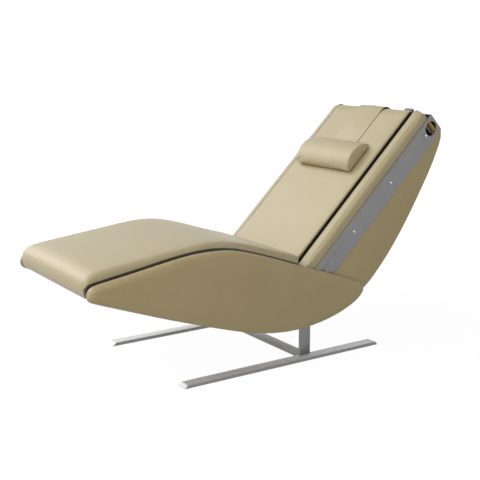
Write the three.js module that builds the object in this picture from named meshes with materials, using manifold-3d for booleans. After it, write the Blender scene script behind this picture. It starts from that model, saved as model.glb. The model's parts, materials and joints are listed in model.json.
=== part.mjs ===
// Massage lounger: a flat-bar skid base, an upholstered seat shell and a reclining back
// that holds a roller carriage. Millimetres, +Z up, +Y from foot to head, +X the sitter's left.
// Seat outlines are drawn from the side as (y, z). The back is drawn in its own frame, whose
// origin is the recline hinge: x across, u along the back, n out of its front.

import * as THREE from 'three';
import { mergeVertices } from 'three/addons/utils/BufferGeometryUtils.js';
import Module from 'manifold-3d';

const wasm = await Module();
wasm.setup();

// ---------- driving dimensions ----------

const fitGap = 0.3; // between pieces that touch
const runningGap = 0.3; // radial, round a turning shaft

const skidLength = 1000;
const skidWidth = 50;
const skidHeight = 15;
const skidBevel = 13.5;
const skidUnderPost = 12.2; // how far a post stands over its skid
const postFront = 595; // front face of the posts, from the skids' foot end
const postDepth = 51;
const postThickness = 15;
const postTubeGap = 3.7; // post to torsion tube

const bandOuter = 312.5; // half the width over the side bands
const bandThickness = 3;
const bandWidth = 96;
const bandLength = 985;
const bandHeadRound = 2;
const bandScrewPitch = 282;
const bandScrewCount = 3;
const screwHeadRadius = 6.5;
const screwHeadHeight = 4;
const screwShankRadius = 3;
const screwShankLength = 24;
const portRadius = 36;
const portInset = 43; // port centre to the band's head end
const portEdge = 0.5; // port to the stile's end
const screwEdge = 6.5; // port to the last screw

const panelGap = 3.5; // band to side panel
const panelThickness = 28;
const panelEdge = 20; // roundness of the outer edge
const panelLip = 6; // of its lower edge below the belly line
const sidePlateThickness = 6;
const sidePlateGap = 1; // band to side plate

const backAngle = 44; // degrees from the floor
const hingeY = 663;
const hingeZ = 326;
const hingePinRadius = 10;
const hingePinHead = 16;
const hingePinReach = 44; // from the head into the torsion tube
const hingeEar = 35;
const torsionTubeRadius = 22;

const cushionThickness = 62; // below the seat line
const cushionLift = 5.5; // its top above the seat line
const cushionSideGap = 5; // to the side panel
const cushionBackGap = 5; // to the back pad
const cushionCrown = 4;
const panThickness = 10;
const panSideGap = 13; // inside the cushion's sides
const crossbarRadius = 16;
const bellyThickness = 12;
const bellyInset = 6; // above the belly line
const bellySlotGap = 3; // round the posts

const padFront = 115;
const padThickness = 53;
const padHalfWidth = 252;
const padFoot = -36;
const padHeadInset = 18; // to the band's head end
const padHeadRound = 38;
const padEdge = 11; // roundness of its sides
const bolsterGap = 5;
const bolsterFront = 102;
const bolsterThickness = 76;
const bolsterFoot = 0;
const bolsterHeel = 27; // depth of the part that runs down in front of the hinge
const bolsterFall = 15; // of its front, from the inner to the outer edge
const bolsterRound = 10; // roundness of the outer edge

const shellFront = -36;
const shellWall = 12;
const shellSideGap = 0.5; // shell and bolster to the band
const shellEdge = 10; // roundness of its outer edges
const shellFoot = 64;
const shellArcFoot = 90;

const strapHalfWidth = 83;
const strapThickness = 1.8;
const strapFoot = 562;
const pillowHalfWidth = 187;
const pillowFoot = 498;
const pillowLength = 175;
const pillowHeight = 60;
const pillowEdge = 8; // roundness of its ends

const loopInner = 102;
const loopWidth = 47;
const loopHeight = 42;
const loopDepth = 16;
const loopWall = 3;
const loopPlace = 20;
const plateThickness = 4;
const plateSideGap = 9.2;

const stileInset = 5; // stile inside the bolster
const stileFoot = 45;
const railGap = 17; // rail to stile
const railSize = 20;
const headPlateInset = 51; // to the band's head end
const headPlateWidth = 300; // of its lower half
const headPlateRim = 17; // beyond the lead screw
const battenInset = 32; // to the band's head end
const battenThickness = 12;
const battenSideGap = 4.2;
const motorWallGap = 2.8; // lift motor to the shell's foot wall
const leadScrewRadius = 8;
const screwPlateGap = 3; // lead screw to the carriage plate
const liftMotorRadius = 25;
const liftMotorLength = 88;
const screwInMotor = 12;

const carriageRest = 430; // the carriage's middle at rest, along the back
const carriageEnd = 8; // plate beyond the wheel axles
const carriageRailGap = 15;
const carriagePlateDepth = -34;
const wheelRadius = 15;
const wheelWidth = 12;
const wheelRollerGap = 7; // roller to wheel axle
const axleRadius = 5;
const kneadShaftRadius = 7;
const rollerPadGap = 9; // roller to the back pad
const kneadShaftLength = 300;
const wormWheelRadius = 24;
const wormWheelWidth = 12;
const wormRadius = 8;
const wormLength = 64;
const wormMotorGap = 8;
const kneadMotorRadius = 22.7;
const kneadMotorLength = 62;
const armPlace = 84;
const armThickness = 12;
const armReach = 55; // shaft to roller axle
const armWidth = 24;
const rollerRadius = 28;
const rollerWidth = 40;
const rollerRim = 8; // roundness of its edges
const rollerPinRadius = 6;
const earPlace = 60;
const earWall = 6;

const leverReach = 96; // hinge to the actuator's rear pin
const leverAngle = -88; // degrees, seen from the sitter's left
const leverThickness = 6;
const leverSpread = 11;
const leverPinRadius = 8;
const openPivotGap = 2.2;
const actuatorLength = 330; // between its two pins
const actuatorAngle = -16;
const actuatorRadius = 20;
const actuatorBodyLength = 215;
const rodRadius = 10;
const rodStroke = 34;
const rodBoreWall = 14; // between the front pin's bore and the rod's
const actuatorMotorRadius = 21;
const actuatorMotorLength = 110;

const guardBellyGap = 5.5;
const guardWall = 2;
const guardHalfWidth = 280;
const guardEnd = -75; // degrees from the floor, as the shell's foot angle
const shellFootAngle = -31;

const controlBoxSize = [200, 150, 46];
const controlBoxShare = 0.32; // of the seat line, from the foot end
const thighMotorRadius = 32;
const thighMotorHeight = 40;
const thighMotorShare = 0.65; // of the seat line, from the foot end
const thighFlangeReach = 14;
const inletSize = [28, 22];
const inletPlace = [-180, 0.68]; // x, and the share of the belly line

// The side view of the seat: the seat line, which the cushion lies along, and the belly line.
const seatLine = new THREE.SplineCurve([
  [-340, 508], [-203, 524], [-32, 544], [70, 555.5], [150, 560], [230, 553.5],
  [320, 531], [463, 484], [560, 455], [606, 442.5],
].map((point) => new THREE.Vector2(...point)));
const cushionNose = [
  [-385, 501], [-401, 481], [-407, 456], [-404, 430], [-396, 414], [-385, 406], [-376, 409], [-371, 421],
];
const panelBottom = new THREE.SplineCurve([
  [-372, 404], [-310, 382], [-61, 292], [211, 203], [357, 164], [459, 149], [560, 145],
  [669, 157], [779, 182.5], [868, 222],
].map((point) => new THREE.Vector2(...point)));
const panelRear = [[901, 241], [916, 263], [919, 281], [903, 304]];
const panelTop = new THREE.SplineCurve([
  [850, 327], [737, 367], [575, 420], [471, 457], [371, 491], [274, 520.5], [226, 531],
  [179, 536], [130, 538.5], [60, 536], [-45, 523], [-215, 495], [-350, 475],
].map((point) => new THREE.Vector2(...point)));
const panelTip = [[-380, 468], [-396, 452], [-402, 431], [-395, 411]];

// The rear of the back shell, from its head to its foot: the share of the way from the end of
// the foot wall to the band's head end, and n.
const shellArc = [
  [1, -54], [0.9894, -70], [0.9658, -82], [0.9303, -99], [0.8123, -137], [0.686, -167], [0.5608, -194],
  [0.4439, -215], [0.3329, -230], [0.2314, -238], [0.1311, -240], [0.0602, -233], [0, -219],
];

// ---------- derived sizes ----------

const panelInner = bandOuter + panelGap;
const bandInner = bandOuter - bandThickness;
const cushionHalfWidth = panelInner - cushionSideGap;
const panHalfWidth = cushionHalfWidth - panSideGap;
const sidePlateOuter = bandInner - sidePlateGap;
const sidePlateInner = sidePlateOuter - sidePlateThickness;
const crossbarHalfLength = sidePlateInner - fitGap;
const shellHalfWidth = bandInner - shellSideGap;
const frameHalfWidth = bandInner - fitGap;
const plateHalfWidth = frameHalfWidth - plateSideGap;
const bandFoot = -bandWidth / 2;
const bandHead = bandFoot + bandLength;
const portPlace = bandHead - portInset;
const stileHead = portPlace - portRadius - portEdge;
const lastScrew = portPlace - portRadius - screwEdge;
const padHead = bandHead - padHeadInset;
const padBack = padFront - padThickness;
const bolsterBack = bolsterFront - bolsterThickness;
const bolsterInner = padHalfWidth + bolsterGap;
const stileInner = bolsterInner + stileInset;
const railOuter = stileInner - railGap;
const railInner = railOuter - railSize;
const carriageHalfWidth = railInner - carriageRailGap;
const plateHead = bandHead - plateThickness;
const headPlatePlace = bandHead - headPlateInset;
const battenPlace = bandHead - battenInset;
const leadScrewDepth = carriagePlateDepth - leadScrewRadius - screwPlateGap;
const kneadShaftDepth = padBack - rollerPadGap - rollerRadius;
const wheelPlace = armReach + rollerRadius + wheelRollerGap + axleRadius;
const carriageHalfLength = wheelPlace + axleRadius + carriageEnd;
const back = THREE.MathUtils.degToRad(backAngle);
const hinge = new THREE.Vector2(hingeY, hingeZ);

const sides = [['left', 1], ['right', -1]];
const ends = [['lower', -1], ['upper', 1]];

// ---------- finishes ----------

function finish(colour, roughness, metalness) {
  return new THREE.MeshStandardMaterial({ color: colour, roughness, metalness });
}

const leather = finish(0xc8bc9c, 0.55, 0);
const leatherSide = finish(0xb5a784, 0.55, 0);
const satinSteel = finish(0xa2a2a2, 0.35, 1);
const darkSteel = finish(0x4a4c50, 0.45, 0.8);
const brightSteel = finish(0xd0d2d4, 0.2, 1);
const blackPlastic = finish(0x1c1c1e, 0.5, 0);
const plywood = finish(0xb48a55, 0.7, 0);
const rollerRubber = finish(0x2a2a2c, 0.8, 0);
const brassNut = finish(0xb08d45, 0.35, 1);

// ---------- helpers ----------

const point2 = (a, b) => new THREE.Vector2(a, b);
const radians = THREE.MathUtils.degToRad;

function weld(geometry) {
  geometry.deleteAttribute('normal');
  geometry.deleteAttribute('uv');
  return mergeVertices(geometry, 1e-4);
}

function toSolid(geometry) {
  const welded = weld(geometry.clone());
  return new wasm.Manifold(new wasm.Mesh({
    numProp: 3,
    vertProperties: welded.attributes.position.array,
    triVerts: new Uint32Array(welded.index.array),
  }));
}

function toGeometry(solid) {
  const { vertProperties, triVerts } = solid.getMesh();
  const geometry = new THREE.BufferGeometry();
  geometry.setAttribute('position', new THREE.BufferAttribute(vertProperties, 3));
  geometry.setIndex(new THREE.BufferAttribute(triVerts, 1));
  return geometry;
}

function cut(geometry, ...tools) {
  return toGeometry(tools.reduce((solid, tool) => solid.subtract(toSolid(tool)), toSolid(geometry)));
}

function join(...geometries) {
  return toGeometry(geometries.map(toSolid).reduce((sum, solid) => sum.add(solid)));
}

// The same piece on the other side: sign -1 mirrors it across x = 0.
function onSide(geometry, sign) {
  const copy = weld(geometry.clone());
  if (sign < 0) {
    copy.scale(-1, 1, 1);
    const index = copy.index.array;
    for (let i = 0; i < index.length; i += 3) [index[i], index[i + 1]] = [index[i + 1], index[i]];
  }
  return copy;
}

function add(parent, name, geometry, material) {
  const mesh = new THREE.Mesh(geometry, material);
  mesh.name = name;
  parent.add(mesh);
  return mesh;
}

function block([x0, x1], [y0, y1], [z0, z1]) {
  const geometry = new THREE.BoxGeometry(x1 - x0, y1 - y0, z1 - z0);
  return geometry.translate((x0 + x1) / 2, (y0 + y1) / 2, (z0 + z1) / 2);
}

// A round bar between two points.
function bar(start, end, radius, facets = 24) {
  const from = new THREE.Vector3(...start);
  const to = new THREE.Vector3(...end);
  const geometry = new THREE.CylinderGeometry(radius, radius, from.distanceTo(to), facets);
  const direction = to.clone().sub(from).normalize();
  const up = new THREE.Vector3(0, 1, 0);
  geometry.applyQuaternion(new THREE.Quaternion().setFromUnitVectors(up, direction));
  const middle = from.add(to).multiplyScalar(0.5);
  return geometry.translate(middle.x, middle.y, middle.z);
}

// A bar across the piece, centred on (y, z).
const barAcross = (x0, x1, [y, z], radius, facets) => bar([x0, y, z], [x1, y, z], radius, facets);

const extrude = (outline, depth) =>
  new THREE.ExtrudeGeometry(new THREE.Shape(outline), { depth, bevelEnabled: false });

// A side-view outline made solid between two x planes.
function slab(outline, x0, x1) {
  const turn = new THREE.Matrix4().makeBasis(
    new THREE.Vector3(0, 1, 0), new THREE.Vector3(0, 0, 1), new THREE.Vector3(1, 0, 0));
  return extrude(outline, x1 - x0).applyMatrix4(turn).translate(x0, 0, 0);
}

// An outline in x and n made solid between two places along the back.
function crossSlab(outline, u0, u1) {
  return extrude(outline, u1 - u0).rotateX(Math.PI / 2).translate(0, u1, 0);
}

// A polygon whose corners [a, b, radius] are rounded by arcs, anticlockwise.
function rounded(corners, step = 18) {
  return corners.flatMap(([a, b, radius = 0], i) => {
    const corner = point2(a, b);
    if (radius === 0) return [corner];
    const before = point2(...corners.at(i - 1));
    const after = point2(...corners[(i + 1) % corners.length]);
    const into = corner.clone().sub(before).normalize();
    const out = after.sub(corner).normalize();
    const turn = Math.atan2(into.cross(out), into.dot(out));
    const start = corner.clone().addScaledVector(into, -radius * Math.tan(Math.abs(turn) / 2));
    const centre = start.clone().addScaledVector(point2(-into.y, into.x), radius * Math.sign(turn));
    const steps = Math.max(1, Math.ceil(Math.abs(turn) / radians(step)));
    const turns = Array.from({ length: steps + 1 }, (_, k) => turn * k / steps);
    return turns.map((angle) => start.clone().rotateAround(centre, angle));
  });
}

function capsule(from, to, fromRadius, toRadius, steps = 8) {
  const heading = to.clone().sub(from).angle();
  const arc = (centre, radius, start) => Array.from({ length: steps + 1 }, (_, k) => {
    const turn = heading + start + Math.PI * k / steps;
    return centre.clone().add(point2(radius, 0).rotateAround(point2(0, 0), turn));
  });
  return [...arc(to, toRadius, -Math.PI / 2), ...arc(from, fromRadius, Math.PI / 2)];
}

// A padded body: the outline is repeated at each layer across x, drawn in along its normals
// by the layer's inset, less on its underside, and swelled on its upper side by the crown.
// The end caps of a convex outline fan out from a middle point.
function loft(outline, layers, convex = false) {
  const count = outline.length;
  const normals = outline.map((_, i) => {
    const before = outline[(i + count - 1) % count];
    const after = outline[(i + 1) % count];
    return point2(after.y - before.y, before.x - after.x).normalize();
  });
  const positions = layers.flatMap(({ x, inset = 0, crown = 0 }) => outline.flatMap((point, i) => {
    const drawn = inset * THREE.MathUtils.clamp(1 + normals[i].y, 0.35, 1);
    const swell = crown * Math.max(0, normals[i].y) - drawn;
    return [x, point.x + normals[i].x * swell, point.y + normals[i].y * swell];
  }));
  const index = [];
  for (let layer = 0; layer + 1 < layers.length; layer += 1) {
    for (let i = 0; i < count; i += 1) {
      const a = layer * count + i;
      const b = layer * count + (i + 1) % count;
      index.push(a, b, b + count, a, b + count, a + count);
    }
  }
  const ring = (layer) => outline.map((_, i) => 3 * (layer * count + i))
    .map((place) => point2(positions[place + 1], positions[place + 2]));
  const last = layers.length - 1;
  const cap = (layer) => {
    const rim = ring(layer);
    if (!convex) {
      return THREE.ShapeUtils.triangulateShape(rim, []).map((face) => face.map((i) => i + layer * count));
    }
    const middle = rim.reduce((sum, point) => sum.add(point), point2(0, 0)).divideScalar(count);
    positions.push(layers[layer].x, middle.x, middle.y);
    const hub = positions.length / 3 - 1;
    return outline.map((_, i) => [layer * count + i, layer * count + (i + 1) % count, hub]);
  };
  for (const [a, b, c] of cap(0)) index.push(a, c, b);
  for (const face of cap(last)) index.push(...face);
  const geometry = new THREE.BufferGeometry();
  geometry.setAttribute('position', new THREE.Float32BufferAttribute(positions, 3));
  geometry.setIndex(index);
  return geometry;
}

// Layers of a pad that is rounded at both sides and crowned in the middle.
function padLayers(x0, x1, round, crown) {
  const middle = (x0 + x1) / 2;
  const half = (x1 - x0) / 2;
  const flank = [90, 60, 32, 0].map((degrees) => ({
    reach: half - round * (1 - Math.cos(radians(90 - degrees))),
    inset: round * (1 - Math.cos(radians(degrees))) * 0.85,
    crown: 0,
  }));
  const top = [0.62, 0.3].map((share) => ({
    reach: half * share, inset: 0, crown: crown * (1 - share * share),
  }));
  const outward = [...flank, ...top];
  return [
    ...outward.map(({ reach, ...shape }) => ({ x: middle - reach, ...shape })),
    { x: middle, inset: 0, crown },
    ...outward.toReversed().map(({ reach, ...shape }) => ({ x: middle + reach, ...shape })),
  ];
}

// A point at a depth under a side-view curve; share runs from 0 at its foot end to 1.
function under(curve, share, depth) {
  const tangent = curve.getTangentAt(share);
  return curve.getPointAt(share).add(point2(tangent.y, -tangent.x).multiplyScalar(depth));
}

const underRange = (curve, depth, start, end, steps) =>
  Array.from({ length: steps + 1 }, (_, k) => under(curve, start + (end - start) * k / steps, depth));

// A point of the shell's foot wall, which runs out from the hinge.
const footPoint = (radius, inward = 0) =>
  point2(radius, inward).rotateAround(point2(0, 0), radians(shellFootAngle - backAngle));

// How far along the back the inner face of the foot wall meets a depth n.
function footWallAt(n) {
  const turn = radians(shellFootAngle - backAngle);
  return footPoint((n - shellWall * Math.cos(turn)) / Math.sin(turn), shellWall).x;
}

const worldToBack = (point) => point.clone().sub(hinge).rotateAround(point2(0, 0), -back);

// How far along the seat line a layer can run before it meets the plane of the back pad.
function seatRearShare(depth, gap) {
  let near = 0.5;
  let far = 1;
  for (let i = 0; i < 40; i += 1) {
    const middle = (near + far) / 2;
    if (worldToBack(under(seatLine, middle, depth)).y > padFront + gap) near = middle;
    else far = middle;
  }
  return near;
}

const chair = new THREE.Group();

// ---------- base ----------

const skidOutline = [
  point2(0, 0), point2(skidLength, 0),
  point2(skidLength - skidBevel, skidHeight), point2(skidBevel, skidHeight),
];
const postOuter = sidePlateInner - fitGap;
const postInner = postOuter - postThickness;
const postFoot = skidHeight + fitGap;
const postHead = hingeZ - torsionTubeRadius - postTubeGap;
const skidInner = postOuter - skidUnderPost;

const postReach = [postFront, postFront + postDepth];
add(chair, 'base_crossbar', block(
  [fitGap - skidInner, skidInner - fitGap], postReach, [0, skidHeight]), satinSteel);

const post = block([postInner, postOuter], postReach, [postFoot, postHead]);
for (const [side, sign] of sides) {
  add(chair, `skid_${side}`, onSide(slab(skidOutline, skidInner, skidInner + skidWidth), sign), satinSteel);
  add(chair, `post_${side}`, onSide(post, sign), satinSteel);
}

// ---------- seat ----------

const panelOutline = [
  ...underRange(panelBottom, panelLip, 0, 1, 16), ...panelRear.map((p) => point2(...p)),
  ...panelTop.getSpacedPoints(20), ...panelTip.map((p) => point2(...p)),
];
const panelLayers = [
  { x: 0, inset: 5 }, { x: 5, inset: 0.8 }, { x: panelThickness - panelEdge, inset: 0 },
  ...[30, 55, 75, 90].map((degrees) => ({
    x: panelThickness - panelEdge * (1 - Math.sin(radians(degrees))),
    inset: panelEdge * 0.8 * (1 - Math.cos(radians(degrees))),
  })),
].map(({ x, inset }) => ({ x: panelInner + x, inset }));

const cushionRear = seatRearShare(-cushionLift, cushionBackGap);
const cushionRearUnder = seatRearShare(cushionThickness, cushionBackGap);
const cushionCorner = (share, depth, radius) => {
  const point = under(seatLine, share, depth);
  return [point.x, point.y, radius];
};
const panShares = Array.from({ length: 11 }, (_, k) => 0.02 + 0.08 * k);
const panLine = (depth) => panShares.map((share) => under(seatLine, share, depth));
const cushionOutline = rounded([
  ...panLine(cushionThickness).map((p) => [p.x, p.y]),
  cushionCorner(cushionRearUnder, cushionThickness, 8),
  cushionCorner(cushionRear, -cushionLift, 22),
  ...underRange(seatLine, -cushionLift, cushionRear * 0.95, 0, 16).map((p) => [p.x, p.y]),
  ...cushionNose,
]);

const panTop = cushionThickness + fitGap;
const pan = slab(
  [...panLine(panTop + panThickness), ...panLine(panTop).reverse()], -panHalfWidth, panHalfWidth);
const panUnder = panTop + panThickness + fitGap;

const bellyHalfWidth = panelInner - fitGap;
const bellyStart = 0.01;
const bellyEnd = 0.9;
const bellyTop = -bellyInset - bellyThickness;
const slotX = [postInner - bellySlotGap, postOuter + bellySlotGap];
const slotY = [postFront - bellySlotGap, postFront + postDepth + bellySlotGap];
const slots = sides.map(([, sign]) => block(
  slotX.map((x) => x * sign).sort((a, b) => a - b), slotY, [0, hingeZ]));
const inletAt = under(panelBottom, inletPlace[1], -bellyInset);
const inletSlope = panelBottom.getTangentAt(inletPlace[1]).angle();

function atInlet(geometry) {
  return geometry.rotateX(inletSlope).translate(inletPlace[0], inletAt.x, inletAt.y);
}

const [inletWidth, inletHeight] = inletSize;
function inletBody(grow, low, high) {
  const halfWidth = inletWidth / 2 + grow;
  const halfHeight = inletHeight / 2 + grow;
  return block([-halfWidth, halfWidth], [-halfHeight, halfHeight], [low, high]);
}
const bellyUpper = underRange(panelBottom, bellyTop, bellyEnd, bellyStart, 24);
const belly = cut(
  slab([...underRange(panelBottom, -bellyInset, bellyStart, bellyEnd, 24), ...bellyUpper],
    -bellyHalfWidth, bellyHalfWidth),
  ...slots, atInlet(inletBody(fitGap, -20, 40)));
const inlet = cut(
  join(inletBody(0, -1, 26), inletBody(6, -3 - fitGap, -fitGap)), inletBody(-3, -10, 20));

add(chair, 'seat_pan', pan, plywood);
add(chair, 'seat_cushion', loft(
  cushionOutline, padLayers(-cushionHalfWidth, cushionHalfWidth, 22, cushionCrown)), leather);
add(chair, 'belly_cover', belly, leatherSide);
add(chair, 'mains_inlet', atInlet(inlet), blackPlastic);

// The frame: crossbars carry the pan, and the side plates carry the crossbars and the hinge.
const crossbarPlaces = { front: 0.16, rear: 0.8 };
for (const [name, share] of Object.entries(crossbarPlaces)) {
  const centre = under(seatLine, share, panUnder + crossbarRadius);
  add(chair, `seat_crossbar_${name}`, barAcross(
    -crossbarHalfLength, crossbarHalfLength, [centre.x, centre.y], crossbarRadius, 20), darkSteel);
}

const leverPin = point2(leverReach, 0).rotateAround(point2(0, 0), radians(leverAngle)).add(hinge);
const actuatorPin = leverPin.clone()
  .sub(point2(actuatorLength, 0).rotateAround(point2(0, 0), radians(actuatorAngle)));
add(chair, 'actuator_crossbar', barAcross(
  -crossbarHalfLength, crossbarHalfLength, [actuatorPin.x, actuatorPin.y], crossbarRadius, 20), darkSteel);

const earArc = [-60, -40, -20, 0, 20, 40, 60, 80, 100, 120].map((degrees) =>
  hinge.clone().add(point2(hingeEar, 0).rotateAround(point2(0, 0), radians(degrees))));
const sidePlateOutline = [
  ...underRange(panelBottom, bellyTop - 6, 0.13, 0.775, 12),
  point2(hinge.x + 16, hinge.y - 80), ...earArc,
  ...underRange(seatLine, panUnder + 2, 0.86, 0.1, 12),
];
const sidePlate = cut(
  slab(sidePlateOutline, sidePlateInner, sidePlateOuter),
  barAcross(sidePlateInner - 1, sidePlateOuter + 1, [hinge.x, hinge.y], hingePinRadius + runningGap, 24));
for (const [side, sign] of sides) {
  add(chair, `side_panel_${side}`, onSide(loft(panelOutline, panelLayers), sign), leatherSide);
  add(chair, `seat_side_plate_${side}`, onSide(sidePlate, sign), darkSteel);
}

// A group turned to the slope of the seat line, whose z = 0 plane clears the pan's underside
// over a reach to either side.
function underPan(share, reach) {
  const group = new THREE.Group();
  const slope = seatLine.getTangentAt(share).angle();
  const middle = under(seatLine, share, panUnder - fitGap);
  const face = panLine(panTop + panThickness)
    .map((point) => point.sub(middle).rotateAround(point2(0, 0), -slope));
  const heightAt = (along) => {
    const i = face.findIndex((point, k) => k > 0 && point.x >= along);
    const share = (along - face[i - 1].x) / (face[i].x - face[i - 1].x);
    return THREE.MathUtils.lerp(face[i - 1].y, face[i].y, share);
  };
  const corners = face.filter((point) => Math.abs(point.x) < reach).map((point) => point.y);
  const drop = fitGap - Math.min(heightAt(-reach), heightAt(reach), ...corners);
  const place = middle.add(point2(Math.sin(slope), -Math.cos(slope)).multiplyScalar(drop));
  group.position.set(0, place.x, place.y);
  group.rotation.x = slope;
  chair.add(group);
  return group;
}

const [boxWidth, boxLength, boxHeight] = controlBoxSize;
add(underPan(controlBoxShare, boxLength / 2), 'control_box', block(
  [-boxWidth / 2, boxWidth / 2], [-boxLength / 2, boxLength / 2], [-boxHeight, 0]), blackPlastic);
const thighFlange = thighMotorRadius + thighFlangeReach;
add(underPan(thighMotorShare, thighMotorRadius), 'thigh_vibration_motor', join(
  bar([0, 0, -thighMotorHeight], [0, 0, 0], thighMotorRadius),
  block([-thighFlange, thighFlange], [-16, 16], [-5, 0])), darkSteel);

// ---------- recline actuator ----------

// Drawn along its own axis: y runs from the front pin to the rear one.
function alongActuator(geometry) {
  return geometry.rotateX(radians(actuatorAngle)).translate(0, actuatorPin.x, actuatorPin.y);
}

const eyeHalf = leverSpread - 1;
const bodyEye = barAcross(-eyeHalf - 6, eyeHalf + 6, [0, 0], crossbarRadius + 9, 20);
const bodyTube = bar([0, crossbarRadius, 0], [0, actuatorBodyLength, 0], actuatorRadius, 20);
const rodBore = bar(
  [0, crossbarRadius + rodBoreWall, 0], [0, actuatorBodyLength + 1, 0], rodRadius + runningGap, 16);
const motorDrop = 4 - actuatorRadius - actuatorMotorRadius;
const actuatorMotor = bar(
  [0, 45, motorDrop], [0, 45 + actuatorMotorLength, motorDrop], actuatorMotorRadius, 20);
const actuatorBody = cut(
  join(bodyEye, bodyTube, actuatorMotor), rodBore,
  barAcross(-eyeHalf - 7, eyeHalf + 7, [0, 0], crossbarRadius + runningGap, 20));
add(chair, 'actuator_body', alongActuator(actuatorBody), blackPlastic);

const rodStart = crossbarRadius + rodBoreWall + rodStroke + 6;
const rodEye = barAcross(-eyeHalf, eyeHalf, [actuatorLength, 0], leverPinRadius + openPivotGap + 6, 20);
const rod = cut(
  join(bar([0, rodStart, 0], [0, actuatorLength - leverPinRadius - 4, 0], rodRadius, 16), rodEye),
  barAcross(-eyeHalf - 1, eyeHalf + 1, [actuatorLength, 0], leverPinRadius + openPivotGap, 20));
add(chair, 'actuator_rod', alongActuator(rod), brightSteel);

// ---------- back: frame ----------

const backrest = new THREE.Group();
backrest.position.set(0, hinge.x, hinge.y);
backrest.rotation.x = back;
chair.add(backrest);

const screwPlaces = Array.from(
  { length: bandScrewCount }, (_, i) => lastScrew - (bandScrewCount - 1 - i) * bandScrewPitch);
const holeRadius = screwShankRadius + runningGap;
const holes = (x0, x1) => screwPlaces.map((u) => barAcross(x0, x1, [u, 0], holeRadius, 12));
const halfBand = bandWidth / 2;
const bandFootRound = halfBand - 0.5;
const bandOutline = rounded([
  [bandFoot, -halfBand, bandFootRound], [bandHead, -halfBand, bandHeadRound],
  [bandHead, halfBand, bandHeadRound], [bandFoot, halfBand, bandFootRound],
], 15);
const band = cut(
  slab(bandOutline, bandInner, bandOuter),
  barAcross(bandInner - 1, bandOuter + 1, [0, 0], hingePinRadius + runningGap, 24),
  barAcross(bandInner - 1, bandOuter + 1, [portPlace, 0], portRadius, 36),
  ...holes(bandInner - 1, bandOuter + 1));

const stileDepth = [shellFront + fitGap, bolsterBack - fitGap];
const stile = cut(
  block([stileInner, frameHalfWidth], [stileFoot, stileHead], stileDepth),
  ...holes(bolsterInner, frameHalfWidth + 1));

// A low domed head with its shank, along x.
function domedScrew() {
  const seat = bandOuter + fitGap;
  const dome = [0, 30, 60].map(radians);
  const profile = [
    point2(0, -screwShankLength), point2(screwShankRadius, -screwShankLength), point2(screwShankRadius, 0),
    ...dome.map((turn) => point2(screwHeadRadius * Math.cos(turn), screwHeadHeight * Math.sin(turn))),
    point2(0, screwHeadHeight),
  ];
  return new THREE.LatheGeometry(profile, 12).rotateZ(-Math.PI / 2).translate(seat, 0, 0);
}

const pinHead = panelGap - 2 * fitGap;
const hingePin = join(
  barAcross(bandOuter + fitGap - hingePinReach, bandOuter + 1, [0, 0], hingePinRadius, 24),
  barAcross(bandOuter + fitGap, bandOuter + fitGap + pinHead, [0, 0], hingePinHead, 24));

for (const [side, sign] of sides) {
  add(backrest, `side_band_${side}`, onSide(band, sign), satinSteel);
  add(backrest, `hinge_pin_${side}`, onSide(hingePin, sign), brightSteel);
  add(backrest, `side_stile_${side}`, onSide(stile, sign), plywood);
  screwPlaces.forEach((u, i) => {
    const screw = onSide(domedScrew().translate(0, u, 0), sign);
    add(backrest, `band_screw_${side}_${i + 1}`, screw, brightSteel);
  });
  const rail = block([railInner, railOuter],
    [torsionTubeRadius + fitGap, headPlatePlace - fitGap], [-railSize / 2, railSize / 2]);
  add(backrest, `guide_rail_${side}`, onSide(rail, sign), brightSteel);
}

const leverEnd = worldToBack(leverPin);
const leverOutline = capsule(point2(0, 0), leverEnd, torsionTubeRadius + 4, leverPinRadius + 8, 6);
const leverOuter = leverSpread + leverThickness;
const levers = sides.map(([, sign]) => onSide(slab(leverOutline, leverSpread, leverOuter), sign));
add(backrest, 'torsion_tube', join(
  cut(join(barAcross(-crossbarHalfLength, crossbarHalfLength, [0, 0], torsionTubeRadius, 24), ...levers),
    barAcross(-crossbarHalfLength - 1, crossbarHalfLength + 1, [0, 0], hingePinRadius + fitGap, 24)),
  barAcross(-leverOuter - 4, leverOuter + 4, [leverEnd.x, leverEnd.y], leverPinRadius, 18)), darkSteel);

const screwHole = bar(
  [0, 0, leadScrewDepth], [0, headPlatePlace + 20, leadScrewDepth], leadScrewRadius + runningGap, 12);
const [stileBack, stileFront] = stileDepth;
const headPlateHalf = [
  [headPlateWidth / 2, leadScrewDepth - leadScrewRadius - headPlateRim], [headPlateWidth / 2, stileBack],
  [plateHalfWidth, stileBack], [plateHalfWidth, stileFront],
  [padHalfWidth - plateSideGap, stileFront], [padHalfWidth - plateSideGap, padBack - fitGap],
].map(([x, n]) => point2(x, n));
const headPlateOutline = [...headPlateHalf, ...headPlateHalf.toReversed().map(({ x, y }) => point2(-x, y))];
add(backrest, 'head_plate', cut(
  crossSlab(headPlateOutline, headPlatePlace, headPlatePlace + plateThickness), screwHole), satinSteel);
add(backrest, 'top_batten', block(
  [battenSideGap - frameHalfWidth, frameHalfWidth - battenSideGap],
  [battenPlace, battenPlace + battenThickness], stileDepth), plywood);

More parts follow.
